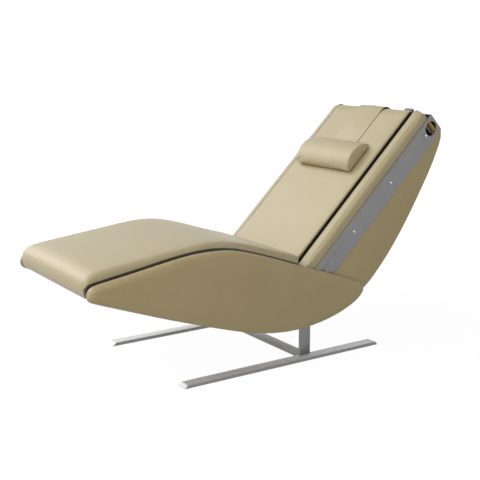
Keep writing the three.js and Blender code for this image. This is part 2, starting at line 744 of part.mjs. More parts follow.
// The top plate closes the head end, with two open loops standing on it.
const loopOuter = slab(rounded([
  [bandHead - 1, loopPlace - loopDepth / 2], [bandHead + loopHeight, loopPlace - loopDepth / 2, 3],
  [bandHead + loopHeight, loopPlace + loopDepth / 2, 3], [bandHead - 1, loopPlace + loopDepth / 2],
], 30), loopInner, loopInner + loopWidth);
const loopHollow = block([loopInner - 1, loopInner + loopWidth + 1],
  [bandHead + loopWall, bandHead + loopHeight - loopWall],
  [loopPlace - loopDepth / 2 + loopWall, loopPlace + loopDepth / 2 - loopWall]);
const loop = cut(loopOuter, loopHollow);
add(backrest, 'top_cross_plate', join(
  block([-frameHalfWidth, frameHalfWidth], [plateHead, bandHead], [shellFront + fitGap, halfBand]),
  ...sides.map(([, sign]) => onSide(loop, sign))), satinSteel);

const motorHead = footWallAt(leadScrewDepth - liftMotorRadius) + motorWallGap + liftMotorLength;
const onScrewLine = (u0, u1, radius, facets) =>
  bar([0, u0, leadScrewDepth], [0, u1, leadScrewDepth], radius, facets);
const motorPlate = block([fitGap - railInner, railInner - fitGap], [motorHead, motorHead + plateThickness],
  [leadScrewDepth - liftMotorRadius, railSize / 2]);
add(backrest, 'lift_motor', cut(
  join(motorPlate, onScrewLine(motorHead - liftMotorLength, motorHead + 1, liftMotorRadius, 20)),
  onScrewLine(motorHead - screwInMotor, motorHead + 20, leadScrewRadius + runningGap, 12)), blackPlastic);
add(backrest, 'lead_screw', onScrewLine(
  motorHead - screwInMotor + fitGap, headPlatePlace + plateThickness, leadScrewRadius, 12), brightSteel);

// ---------- back: shell and guard ----------

const shellFootInner = footPoint(70);
const shellFootOuter = footPoint(216);
const shellCurve = new THREE.SplineCurve(shellArc.map(
  ([share, n]) => point2(shellArcFoot + share * (bandHead - shellArcFoot), n)));
const shellOutline = [
  point2(shellFoot, shellFront), shellFootInner, shellFootOuter,
  ...shellCurve.getSpacedPoints(26).reverse(), point2(bandHead, shellFront),
];
const shellHollow = [
  point2(shellFoot + 8, shellFront + 20), footPoint(40, shellWall), footPoint(204, shellWall),
  ...underRange(shellCurve, shellWall, 0.97, 0.06, 24),
  point2(bandHead - shellWall, shellFront - 20), point2(bandHead - shellWall, shellFront + 20),
];
const shellLayers = [90, 65, 40, 0].map(radians).map((turn) => ({
  x: shellHalfWidth - shellEdge * (1 - Math.sin(turn)), inset: shellEdge * 0.9 * (1 - Math.cos(turn)),
}));
const shellSolid = loft(shellOutline, [
  ...shellLayers.map(({ x, inset }) => ({ x: -x, inset })), ...shellLayers.toReversed(),
]);
const shellInside = slab(shellHollow, shellWall - shellHalfWidth, shellHalfWidth - shellWall);
add(backrest, 'back_shell', cut(shellSolid, shellInside), leatherSide);

const bellyReach = Math.min(...bellyUpper.map((point) => point.distanceTo(hinge)));
const guardRadius = bellyReach - guardBellyGap - guardWall;
const guardStart = shellFootAngle - THREE.MathUtils.radToDeg(fitGap / guardRadius);
const guardArc = (radius) => Array.from({ length: 13 }, (_, k) => {
  const degrees = guardEnd + (guardStart - guardEnd) * k / 12 - backAngle;
  return point2(radius, 0).rotateAround(point2(0, 0), radians(degrees));
});
add(backrest, 'lower_guard', slab(
  [...guardArc(guardRadius + guardWall), ...guardArc(guardRadius).reverse()],
  -guardHalfWidth, guardHalfWidth), darkSteel);

// ---------- back: padding ----------

const spread = (from, to, steps) =>
  Array.from({ length: steps }, (_, k) => from + (to - from) * (k + 1) / (steps + 1));
const padOutline = rounded([
  [padFoot, padBack, 14], [padHead, padBack, 14], [padHead, padFront, padHeadRound],
  ...spread(padHead - padHeadRound, padFoot + 20, 3).map((u) => [u, padFront]), [padFoot, padFront, 16],
]);
add(backrest, 'back_pad', loft(padOutline, padLayers(-padHalfWidth, padHalfWidth, padEdge, 0), true), leather);

const bolsterHead = plateHead - 1;
const bolsterOutline = rounded([
  [stileFoot, bolsterBack, 12], [bolsterHead, bolsterBack, 12], [bolsterHead, bolsterFront, padHeadRound],
  ...spread(bolsterHead - padHeadRound, bolsterFoot + 20, 3).map((u) => [u, bolsterFront]),
  [bolsterFoot, bolsterFront, 8], [bolsterFoot, bolsterFront - bolsterHeel, 8],
]);
const bolsterRollStart = 25; // degrees: the slope of the front where the roll takes over
const bolsterLayers = [
  { x: bolsterInner, inset: 5 }, { x: bolsterInner + 2.5, inset: 1.5 }, { x: bolsterInner + 7, inset: 0 },
  ...[bolsterRollStart, 45, 67, 90].map((degrees) => ({
    x: shellHalfWidth - bolsterRound * (1 - Math.sin(radians(degrees))),
    inset: bolsterFall + bolsterRound * (Math.cos(radians(bolsterRollStart)) - Math.cos(radians(degrees))),
  })),
];
for (const [side, sign] of sides) {
  add(backrest, `bolster_${side}`, onSide(loft(bolsterOutline, bolsterLayers, true), sign), leather);
}

// The strap follows the front of the pad and turns over its head end.
const strapCentre = [
  [padHead, padBack + 8], [padHead, padFront - padHeadRound],
  ...[18, 36, 54, 72].map(radians).map((turn) => [
    padHead - padHeadRound * (1 - Math.cos(turn)), padFront - padHeadRound * (1 - Math.sin(turn))]),
  [padHead - padHeadRound, padFront], [strapFoot, padFront],
];
const strapSide = (offset) => strapCentre.map(([u, n], i) => {
  const before = strapCentre[Math.max(0, i - 1)];
  const after = strapCentre[Math.min(strapCentre.length - 1, i + 1)];
  const normal = point2(after[1] - before[1], before[0] - after[0]).normalize();
  return point2(u + normal.x * offset, n + normal.y * offset);
});
const strapGap = 2 * fitGap;
add(backrest, 'pillow_strap', slab(
  [...strapSide(strapGap + strapThickness), ...strapSide(strapGap).reverse()],
  -strapHalfWidth, strapHalfWidth), leather);

const pillowBase = padFront + strapGap + strapThickness + 2 * fitGap;
const pillowOutline = [
  [0, 0], [0.5, 0], [1, 0], [0.985, 0.18], [0.9, 0.5], [0.75, 0.82], [0.6, 0.96], [0.42, 1], [0.24, 0.86],
  [0.1, 0.6], [0.015, 0.25],
].map(([along, up]) => point2(pillowFoot + along * pillowLength, pillowBase + up * pillowHeight));
const pillowLayers = padLayers(-pillowHalfWidth, pillowHalfWidth, pillowEdge, 2)
  .map(({ x, inset, crown }) => ({ x, inset: inset * 0.5, crown }));
add(backrest, 'head_pillow', loft(pillowOutline, pillowLayers, true), leather);

// ---------- massage carriage ----------

const carriage = new THREE.Group();
carriage.position.set(0, carriageRest, 0);
backrest.add(carriage);

// Each ear is a plate that stands on the frame and carries a shaft or an axle along x.
function earFor(x0, x1, u, shaftDepth, shaftRadius) {
  const ring = shaftRadius + earWall;
  const root = plateFront - 2;
  const outline = capsule(point2(u, root + shaftRadius), point2(u, shaftDepth), ring, ring, 4);
  const foot = block([x0, x1], [u - ring, u + ring], [root, plateFront + 8]);
  const trim = block([x0 - 1, x1 + 1], [u - 40, u + 40], [root - 40, root]);
  const hole = barAcross(x0 - 1, x1 + 1, [u, shaftDepth], shaftRadius + runningGap, 12);
  return cut(join(slab(outline, x0, x1), foot), trim, hole);
}

const plateFront = carriagePlateDepth + plateThickness;
const axleDepth = railSize / 2 + runningGap + wheelRadius;
const axlePlaces = ends.map(([end, way]) => [end, way * wheelPlace]);
const ears = sides.flatMap(([, sign]) => [
  onSide(earFor(earPlace, earPlace + earWall, 0, kneadShaftDepth, kneadShaftRadius), sign),
  ...axlePlaces.map(([, u]) => onSide(earFor(
    carriageHalfWidth - earWall, carriageHalfWidth, u, axleDepth, axleRadius), sign)),
]);
const nutBlock = block([-18, 18], [-20, 20], [leadScrewDepth - 15, carriagePlateDepth + 1]);
add(carriage, 'carriage_frame', cut(join(
  block([-carriageHalfWidth, carriageHalfWidth], [-carriageHalfLength, carriageHalfLength],
    [carriagePlateDepth, plateFront]),
  nutBlock, ...ears), bar(
  [0, -30, leadScrewDepth], [0, 30, leadScrewDepth], leadScrewRadius + runningGap, 12)), darkSteel);
const railMiddle = (railInner + railOuter) / 2;
for (const [end, u] of axlePlaces) {
  add(carriage, `carriage_wheels_${end}`, join(
    barAcross(-railMiddle, railMiddle, [u, axleDepth], axleRadius, 12),
    ...sides.map(([, sign]) => onSide(barAcross(
      railMiddle - wheelWidth / 2, railMiddle + wheelWidth / 2, [u, axleDepth], wheelRadius, 20), sign)),
  ), blackPlastic);
}

const wormDepth = kneadShaftDepth - wormWheelRadius - runningGap - wormRadius;
const onKneadLine = (width, radius, facets) =>
  barAcross(-width / 2, width / 2, [0, kneadShaftDepth], radius, facets);
add(carriage, 'kneading_shaft', join(
  onKneadLine(kneadShaftLength, kneadShaftRadius, 16), onKneadLine(wormWheelWidth, wormWheelRadius, 24),
), brightSteel);
const motorFoot = wormLength / 2 + wormMotorGap;
const onWormLine = (u0, u1, radius, facets) => bar([0, u0, wormDepth], [0, u1, wormDepth], radius, facets);
add(carriage, 'kneading_worm', join(
  onWormLine(-wormLength / 2, wormLength / 2, wormRadius, 16),
  onWormLine(wormLength / 2 - 1, motorFoot - fitGap, wormRadius / 2, 10)), brassNut);
const kneadMotorDepth = plateFront + fitGap + kneadMotorRadius;
add(carriage, 'kneading_motor', bar(
  [0, motorFoot, kneadMotorDepth], [0, motorFoot + kneadMotorLength, kneadMotorDepth],
  kneadMotorRadius, 20), blackPlastic);

const armOuter = armPlace + armThickness;
const armHalf = armWidth / 2;
const armEnd = armReach + armHalf;
const armOutline = rounded([[-1, -1], [1, -1], [1, 1], [-1, 1]].map(
  ([along, up]) => [along * armEnd, kneadShaftDepth + up * armHalf, armHalf - 1]));
const arm = cut(join(
  slab(armOutline, armPlace, armOuter),
  ...ends.map(([, way]) => barAcross(
    armOuter - 1, armOuter + rollerWidth + 6, [way * armReach, kneadShaftDepth], rollerPinRadius, 12)),
), barAcross(armPlace - 1, armOuter + 1, [0, kneadShaftDepth], kneadShaftRadius + runningGap, 16));
const roller = (way) => cut(
  loftedRoller(way), barAcross(armOuter - 1, armOuter + rollerWidth + 4, [way * armReach, kneadShaftDepth],
    rollerPinRadius + runningGap, 12));

// A massage head: a thick disc with rounded rims.
function loftedRoller(way) {
  const rim = [[rollerRim, 0], [rollerRim / 3, rollerRim / 3], [0, rollerRim]];
  const profile = [
    point2(0, 0), ...rim.map(([drawn, along]) => point2(rollerRadius - drawn, along)),
    ...rim.toReversed().map(([drawn, along]) => point2(rollerRadius - drawn, rollerWidth - along)),
    point2(0, rollerWidth),
  ];
  return new THREE.LatheGeometry(profile, 18).rotateZ(-Math.PI / 2)
    .translate(armOuter + 2, way * armReach, kneadShaftDepth);
}

for (const [side, sign] of sides) {
  add(carriage, `massage_arm_${side}`, onSide(arm, sign), darkSteel);
  for (const [end, way] of ends) {
    add(carriage, `roller_${side}_${end}`, onSide(roller(way), sign), rollerRubber);
  }
}

// The part's origin is on the floor, midway between its foot and head ends.
chair.updateMatrixWorld(true);
const extent = new THREE.Box3().setFromObject(chair, true);
chair.position.y = -(extent.min.y + extent.max.y) / 2;

export default chair;
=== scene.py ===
import json
from contextlib import contextmanager
from math import cos, pi, radians, sin

import bmesh
import bpy
from mathutils import Matrix, Vector
from mathutils.bvhtree import BVHTree

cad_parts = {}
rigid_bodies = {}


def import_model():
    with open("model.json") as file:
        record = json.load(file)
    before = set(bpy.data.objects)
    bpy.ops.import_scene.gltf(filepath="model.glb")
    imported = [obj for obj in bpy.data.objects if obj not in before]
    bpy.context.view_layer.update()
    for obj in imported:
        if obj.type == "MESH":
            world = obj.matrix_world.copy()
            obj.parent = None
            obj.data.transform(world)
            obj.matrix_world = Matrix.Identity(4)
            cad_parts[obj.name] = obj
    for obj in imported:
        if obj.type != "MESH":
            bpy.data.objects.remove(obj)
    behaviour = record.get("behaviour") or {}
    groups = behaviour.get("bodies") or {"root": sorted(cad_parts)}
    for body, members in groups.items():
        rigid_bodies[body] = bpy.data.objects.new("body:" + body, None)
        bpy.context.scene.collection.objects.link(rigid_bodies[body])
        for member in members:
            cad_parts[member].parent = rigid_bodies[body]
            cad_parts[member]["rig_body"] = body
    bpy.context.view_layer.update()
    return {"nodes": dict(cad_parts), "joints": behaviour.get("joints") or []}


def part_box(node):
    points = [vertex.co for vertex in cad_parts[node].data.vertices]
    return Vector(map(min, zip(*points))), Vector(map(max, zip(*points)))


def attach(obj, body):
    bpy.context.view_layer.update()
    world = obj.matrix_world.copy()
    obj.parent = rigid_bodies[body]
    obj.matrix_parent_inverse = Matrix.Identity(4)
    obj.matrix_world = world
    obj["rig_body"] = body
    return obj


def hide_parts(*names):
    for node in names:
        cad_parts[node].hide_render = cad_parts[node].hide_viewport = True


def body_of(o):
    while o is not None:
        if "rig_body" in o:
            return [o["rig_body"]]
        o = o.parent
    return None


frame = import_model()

scene = bpy.context.scene
joints = {joint["name"]: joint for joint in frame["joints"]}
print("frame loaded:", len(frame["nodes"]), "nodes")

# The camera at the photographed view: metres, degrees and millimetres of lens.
cameraPlace = {
    "location": (3.3221, -2.2189, 1.3323),
    "tilt": 77.948,
    "turn": 56.247,
    "lens": 70,
}


def makeCamera(place):
    data = bpy.data.cameras.new("photoCamera")
    data.lens = place["lens"]
    data.sensor_width = 36
    camera = bpy.data.objects.new("photoCamera", data)
    camera.location = place["location"]
    camera.rotation_euler = (radians(place["tilt"]), 0, radians(place["turn"]))
    scene.collection.objects.link(camera)
    scene.camera = camera


makeCamera(cameraPlace)

# The back's own directions: along it towards the head, and out of its front.
hinge = Vector(joints["backrest_recline"]["pos_m"])


def middleOf(nodeName):
    low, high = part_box(nodeName)
    return (low + high) / 2


alongBack = (middleOf("band_screw_left_3") - middleOf("band_screw_left_1")).normalized()
outOfBack = alongBack.cross(Vector((-1, 0, 0))).normalized()


def clamped(value):
    return min(max(value, 0), 1)


def backAlong(point):
    return (point - hinge).dot(alongBack)


def backOut(point):
    return (point - hinge).dot(outOfBack)


def selectOnly(piece):
    bpy.ops.object.select_all(action="DESELECT")
    piece.select_set(True)
    bpy.context.view_layer.objects.active = piece


@contextmanager
def editing(piece):
    selectOnly(piece)
    bpy.ops.object.mode_set(mode="EDIT")
    yield
    bpy.ops.object.mode_set(mode="OBJECT")


def pickFaces(piece, test):
    bpy.ops.mesh.select_mode(type="FACE")
    bpy.ops.mesh.select_all(action="DESELECT")
    form = bmesh.from_edit_mesh(piece.data)
    for face in form.faces:
        if test(face.calc_center_median(), face.normal):
            face.select_set(True)
    bmesh.update_edit_mesh(piece.data)


def applyModifiers(piece):
    selectOnly(piece)
    for modifier in list(piece.modifiers):
        bpy.ops.object.modifier_apply(modifier=modifier.name)


def addModifier(piece, kind, **settings):
    modifier = piece.modifiers.new(kind.lower(), kind)
    for name, value in settings.items():
        setattr(modifier, name, value)
    return modifier


def smoothByAngle(piece, degrees=35):
    selectOnly(piece)
    bpy.ops.object.shade_smooth_by_angle(angle=radians(degrees))


# A merged copy of a CAD node, to be worked on as a piece of its own.
def copyNode(nodeName, pieceName):
    piece = bpy.data.objects.new(pieceName, frame["nodes"][nodeName].data.copy())
    piece.data.name = pieceName
    piece.data.materials.clear()
    scene.collection.objects.link(piece)
    with editing(piece):
        bpy.ops.mesh.select_all(action="SELECT")
        bpy.ops.mesh.customdata_custom_splitnormals_clear()
        bpy.ops.mesh.remove_doubles(threshold=0.00001)
    return piece


# Triangles that lie flat to each other become one face.
def joinFlat(piece, degrees=0.4):
    with editing(piece):
        bpy.ops.mesh.select_all(action="SELECT")
        bpy.ops.mesh.dissolve_limited(angle_limit=radians(degrees))


def breakEdges(piece, width, segments, degrees):
    addModifier(
        piece, "BEVEL", width=width, segments=segments, limit_method="ANGLE", angle_limit=radians(degrees))
    applyModifiers(piece)


# The piece takes its finish and rides with the node's body.
def settle(piece, nodeName, finish):
    piece.data.materials.clear()
    piece.data.materials.append(finish)
    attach(piece, body_of(frame["nodes"][nodeName])[0])
    return piece


# A socket that can be added, multiplied and fed on, so that a finish reads as a sum.
class Wire:
    def __init__(self, tree, socket):
        self.tree = tree
        self.socket = socket

    def add(self, kind, settings={}, inputs={}, output=0):
        node = self.tree.nodes.new(kind)
        for name, value in settings.items():
            setattr(node, name, value)
        for name, value in inputs.items():
            if isinstance(value, Wire):
                self.tree.links.new(value.socket, node.inputs[name])
            else:
                node.inputs[name].default_value = value
        return Wire(self.tree, node.outputs[output])

    def calc(self, operation, *values):
        return self.add("ShaderNodeMath", {"operation": operation}, dict(enumerate(values)))

    def __add__(self, other):
        return self.calc("ADD", self, other)

    def __radd__(self, other):
        return self.calc("ADD", other, self)

    def __mul__(self, other):
        return self.calc("MULTIPLY", self, other)

    def spread(self, low, high, toLow=0.0, toHigh=1.0):
        return self.add("ShaderNodeMapRange", {}, {
            "Value": self, "From Min": low, "From Max": high, "To Min": toLow, "To Max": toHigh})

    def tint(self, first, second):
        return self.add("ShaderNodeMix", {"data_type": "RGBA"}, {
            0: self, 6: (*first, 1), 7: (*second, 1)}, output=2)

    def mix(self, first, second):
        return self.add("ShaderNodeMix", {"data_type": "RGBA"}, {
            0: self, 6: first, 7: (*second, 1)}, output=2)

    def stored(self, name):
        return self.add("ShaderNodeAttribute", {"attribute_name": name}, output=2)

    def noise(self, size, detail=3, roughness=0.5):
        return self.add("ShaderNodeTexNoise", {}, {
            "Vector": self, "Scale": 1 / size, "Detail": detail, "Roughness": roughness})

    def cells(self, size, feature="F1"):
        return self.add("ShaderNodeTexVoronoi", {"feature": feature}, {
            "Vector": self, "Scale": 1 / size, "Randomness": 1.0})

    def turned(self, rotation=(0, 0, 0), scale=(1, 1, 1)):
        return self.add("ShaderNodeMapping", {}, {
            "Vector": self, "Rotation": [radians(angle) for angle in rotation], "Scale": scale})

    def bump(self, strength, distance, before=None):
        inputs = {"Strength": strength, "Distance": distance, "Height": self}
        if before:
            inputs["Normal"] = before
        return self.add("ShaderNodeBump", {}, inputs)


# A new material: its Object coordinates, to build a finish from.
def startFinish(name, slot):
    material = bpy.data.materials.new(name)
    material.use_nodes = True
    material.node_tree.nodes.clear()
    material["slot"] = slot
    start = Wire(material.node_tree, None)
    return material, start.add("ShaderNodeTexCoord", output=3)


def endFinish(place, **inputs):
    shader = place.add("ShaderNodeBsdfPrincipled", {}, {
        name.replace("_", " "): value for name, value in inputs.items()})
    output = place.tree.nodes.new("ShaderNodeOutputMaterial")
    place.tree.links.new(shader.socket, output.inputs["Surface"])


leatherLook = {
    "light": (0.420, 0.348, 0.190),
    "dark": (0.390, 0.318, 0.166),
    "roughness": 0.42,
    "grainSize": 0.0016,
    "grainDepth": 0.00012,
    "reflection": 0.85,
    "sheen": 0.1,
    # near-black painted shade for the sides of gaps
    "gapShadeColour": (0.012, 0.009, 0.005),
}


def makeLeather(name, slot, look=leatherLook):
    material, place = startFinish(name, slot)
    wander = place.noise(0.004, 2)
    pebbles = place.cells(look["grainSize"], "SMOOTH_F1")
    pores = place.cells(look["grainSize"] * 0.45).spread(0.0, 0.35)
    grain = pebbles * 0.7 + wander * 0.5 + pores * 0.2
    hide = place.noise(0.16, 3, 0.6)
    creases = place.noise(0.035, 4, 0.65)
    shade = (hide * 0.7 + creases * 0.3).spread(0.35, 0.65)
    soft = creases.bump(0.25, 0.0006)
    # Painted shade: near black where the gap mask marks a side facing a neighbour across a gap.
    gapShadeMask = place.stored("gapShadeMask").spread(0.45, 0.55)
    endFinish(
        place, Base_Color=gapShadeMask.mix(shade.tint(look["dark"], look["light"]), look["gapShadeColour"]),
        Roughness=look["roughness"] - 0.05 + pebbles * 0.05 + hide * 0.08,
        IOR=1.5, Specular_IOR_Level=look["reflection"], Sheen_Weight=look["sheen"], Sheen_Roughness=0.5,
        Normal=grain.bump(0.35, look["grainDepth"], soft))
    return material


satinLook = {
    "light": (0.215, 0.215, 0.218),
    "dark": (0.185, 0.185, 0.188),
    "roughness": 0.40,
    "scratchSize": 0.0007,
    "metallic": 1.0,
}
# painted light: a paler copy of the satin steel for the base's upward faces, as if lit
litTopLook = {
    "light": (0.86, 0.86, 0.855),
    "dark": (0.78, 0.78, 0.775),
    "roughness": 0.45,
    "scratchSize": 0.0007,
    "metallic": 0.3,
    "facingUp": 0.5,
}


# Brushed steel, its fine lines along the direction that the piece was ground in.
def makeBrushed(name, slot, look, rotation=(0, 0, 0), lines=(1, 0.01, 1)):
    material, place = startFinish(name, slot)
    along = place.turned(rotation).turned(scale=lines)
    scratch = along.noise(look["scratchSize"], 3, 0.6)
    cloud = place.noise(0.11, 3)
    endFinish(
        place, Base_Color=(scratch * 0.6 + cloud * 0.4).spread(0.3, 0.7).tint(look["dark"], look["light"]),
        Metallic=look["metallic"], Roughness=look["roughness"] - 0.06 + scratch * 0.08 + cloud * 0.06,
        Normal=scratch.bump(0.12, 0.00005))
    return material


brassLook = {
    "light": (0.50, 0.31, 0.09),
    "dark": (0.40, 0.24, 0.06),
    "roughness": 0.3,
    "scratchSize": 0.0006,
    "metallic": 1.0,
}
polishedLook = {"dark": (0.50, 0.505, 0.51), "light": (0.66, 0.665, 0.67), "roughness": 0.12}
capLook = {"dark": (0.36, 0.362, 0.366), "light": (0.44, 0.442, 0.446), "roughness": 0.17}


def makePolished(name, slot, look):
    material, place = startFinish(name, slot)
    turning = place.noise(0.0009, 2)
    haze = place.noise(0.05, 4)
    endFinish(
        place, Base_Color=haze.tint(look["dark"], look["light"]), Metallic=1.0,
        Roughness=look["roughness"] + haze * 0.1, Normal=turning.bump(0.05, 0.00003))
    return material


def makePainted(name, slot, dark, light, roughness=0.42):
    material, place = startFinish(name, slot)
    peel = place.noise(0.0022, 2)
    dust = place.noise(0.09, 5, 0.65)
    endFinish(
        place, Base_Color=dust.spread(0.4, 0.75).tint(dark, light),
        Roughness=roughness + dust * 0.14, Normal=peel.bump(0.12, 0.0001),
        Coat_Weight=0.15)
    return material


def makeMoulded(name, slot, dark, light, roughness=0.5):
    material, place = startFinish(name, slot)
    spark = place.cells(0.0011)
    wear = place.noise(0.06, 4)
    endFinish(
        place, Base_Color=wear.spread(0.35, 0.7).tint(dark, light),
        Roughness=roughness - 0.06 + wear * 0.14, Normal=spark.bump(0.25, 0.00012))
    return material


def makePlywood(name, slot):
    material, place = startFinish(name, slot)
    bent = place.turned(scale=(1, 0.06, 1))
    rings = bent.noise(0.014, 4, 0.6)
    fibres = place.turned(scale=(1, 0.02, 1)).noise(0.0009, 3)
    face = (rings * 0.75 + fibres * 0.25).spread(0.35, 0.65)
    endFinish(
        place, Base_Color=face.tint((0.34, 0.235, 0.105), (0.55, 0.42, 0.225)),
        Roughness=0.62 + fibres * 0.16, Normal=fibres.bump(0.3, 0.0002))
    return material


def makeThread(name, slot):
    material, place = startFinish(name, slot)
    twist = place.turned((0, 0, 35), (1, 0.2, 1)).noise(0.0004, 2)
    fade = place.noise(0.02, 2)
    endFinish(
        place, Base_Color=fade.tint((0.20, 0.165, 0.085), (0.27, 0.23, 0.125)),
        Roughness=0.6 + twist * 0.2, Normal=twist.bump(0.4, 0.0001))
    return material


leather = makeLeather("leather", "leather")
leatherSide = makeLeather("leatherSide", "leather_side", {
    **leatherLook, "light": (0.405, 0.313, 0.142), "dark": (0.375, 0.285, 0.122), "sheen": 0.04})
# Painted shade: a near-black brown for the strap's shaded cut sides.
strapSideShade = makeMoulded("strapSideShade", "leather", (0.055, 0.036, 0.016), (0.10, 0.068, 0.030), 0.6)
satinSteel = makeBrushed("satinSteel", "satin_steel", satinLook)
backSteel = makeBrushed("backSteel", "satin_steel", satinLook, rotation=(-44, 0, 0))
crossSteel = makeBrushed("crossSteel", "satin_steel", satinLook, lines=(0.01, 1, 1))
# Painted light: lit copies of the steel for the upward faces of the base.
litTopSteel = makeBrushed("litTopSteel", "satin_steel", litTopLook)
litTopCrossSteel = makeBrushed("litTopCrossSteel", "satin_steel", litTopLook, lines=(0.01, 1, 1))
uprightSteel = makeBrushed("uprightSteel", "satin_steel", satinLook, lines=(1, 1, 0.01))
darkSteel = makePainted("darkSteel", "dark_steel", (0.045, 0.047, 0.052), (0.075, 0.078, 0.085))
brightSteel = makePolished("brightSteel", "bright_steel", polishedLook)
capSteel = makePolished("capSteel", "bright_steel", capLook)
blackPlastic = makeMoulded("blackPlastic", "black_plastic", (0.010, 0.010, 0.011), (0.020, 0.020, 0.021))
rollerRubber = makeMoulded(
    "rollerRubber", "roller_rubber", (0.018, 0.018, 0.020), (0.030, 0.030, 0.033), 0.66)
plywood = makePlywood("plywood", "plywood")
brass = makeBrushed("brass", "brass", brassLook, lines=(1, 0.2, 1))
thread = makeThread("thread", "leather")
print("finishes made")

# Each node's piece, its finish and the width of its broken edges in metres.
hardPieces = {
    "skid_left": ("skidLeft", satinSteel, 0.0010),
    "skid_right": ("skidRight", satinSteel, 0.0010),
    "base_crossbar": ("baseCrossbar", crossSteel, 0.0010),
    "post_left": ("postLeft", uprightSteel, 0.0012),
    "post_right": ("postRight", uprightSteel, 0.0012),
    "side_band_left": ("sideBandLeft", backSteel, 0.0007),
    "side_band_right": ("sideBandRight", backSteel, 0.0007),
    "top_cross_plate": ("topCrossPlate", crossSteel, 0.0006),
    "head_plate": ("headPlate", crossSteel, 0.0005),
    "hinge_pin_left": ("hingePinLeft", brightSteel, 0.0008),
    "hinge_pin_right": ("hingePinRight", brightSteel, 0.0008),
    "seat_side_plate_left": ("seatSidePlateLeft", darkSteel, 0.0008),
    "seat_side_plate_right": ("seatSidePlateRight", darkSteel, 0.0008),
    "seat_crossbar_front": ("seatCrossbarFront", darkSteel, 0.0010),
    "seat_crossbar_rear": ("seatCrossbarRear", darkSteel, 0.0010),
    "actuator_crossbar": ("actuatorCrossbar", darkSteel, 0.0010),
    "torsion_tube": ("torsionTube", darkSteel, 0.0008),
    "lower_guard": ("lowerGuard", darkSteel, 0.0004),
    "carriage_frame": ("carriageFrame", darkSteel, 0.0006),
    "massage_arm_left": ("massageArmLeft", darkSteel, 0.0012),
    "massage_arm_right": ("massageArmRight", darkSteel, 0.0012),
    "thigh_vibration_motor": ("thighVibrationMotor", darkSteel, 0.0015),
    "guide_rail_left": ("guideRailLeft", brightSteel, 0.0008),
    "guide_rail_right": ("guideRailRight", brightSteel, 0.0008),
    "lead_screw": ("leadScrew", brightSteel, 0.0008),
    "kneading_shaft": ("kneadingShaft", brightSteel, 0.0008),
    "actuator_rod": ("actuatorRod", brightSteel, 0.0008),
    "kneading_worm": ("kneadingWorm", brass, 0.0006),
    "actuator_body": ("actuatorBody", blackPlastic, 0.0012),
    "lift_motor": ("liftMotor", blackPlastic, 0.0010),
    "kneading_motor": ("kneadingMotor", blackPlastic, 0.0015),
    "control_box": ("controlBox", blackPlastic, 0.0030),
    "mains_inlet": ("mainsInlet", blackPlastic, 0.0008),
    "carriage_wheels_lower": ("carriageWheelsLower", blackPlastic, 0.0010),
    "carriage_wheels_upper": ("carriageWheelsUpper", blackPlastic, 0.0010),
    "roller_left_lower": ("rollerLeftLower", rollerRubber, 0.0020),
    "roller_left_upper": ("rollerLeftUpper", rollerRubber, 0.0020),
    "roller_right_lower": ("rollerRightLower", rollerRubber, 0.0020),
    "roller_right_upper": ("rollerRightUpper", rollerRubber, 0.0020),
    "seat_pan": ("seatPan", plywood, 0.0006),
    "side_stile_left": ("sideStileLeft", plywood, 0.0008),
    "side_stile_right": ("sideStileRight", plywood, 0.0008),
    "top_batten": ("topBatten", plywood, 0.0008),
}

for nodeName, (pieceName, finish, edge) in hardPieces.items():
    piece = copyNode(nodeName, pieceName)
    joinFlat(piece)
    breakEdges(piece, edge, 2, 32)
    smoothByAngle(piece, 34)
    settle(piece, nodeName, finish)
    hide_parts(nodeName)

# Painted light: the upper faces and bevelled ends of the base get a paler steel than its sides, standing in
# for how light falls on them.
for pieceName, finish in (
        ("skidLeft", litTopSteel), ("skidRight", litTopSteel), ("baseCrossbar", litTopCrossSteel)):
    piece = bpy.data.objects[pieceName]
    piece.data.materials.append(finish)
    for face in piece.data.polygons:
        face.material_index = 1 if face.normal.z > litTopLook["facingUp"] else 0
print("hard pieces made")

cageLook = {"rings": (0.003, 0.005), "levels": 2, "tolerance": 40}


# A node's copy, subdivided: its flat ends as one face each with two narrow rings, the rest in quads.
def softCage(nodeName, pieceName, look=cageLook):
    piece = copyNode(nodeName, pieceName)
    with editing(piece):
        pickFaces(piece, lambda at, normal: abs(normal.x) > 0.99)
        bpy.ops.mesh.dissolve_faces()
        for ring in look["rings"]:
            bpy.ops.mesh.inset(thickness=ring)
        bpy.ops.mesh.select_all(action="SELECT")
        bpy.ops.mesh.tris_convert_to_quads(
            face_threshold=radians(look["tolerance"]), shape_threshold=radians(look["tolerance"]))
    addModifier(piece, "SUBSURF", levels=look["levels"], render_levels=look["levels"])
    applyModifiers(piece)
    return piece


clothLook = {"quality": 4, "mass": 0.4, "tightness": 12, "steps": 20}


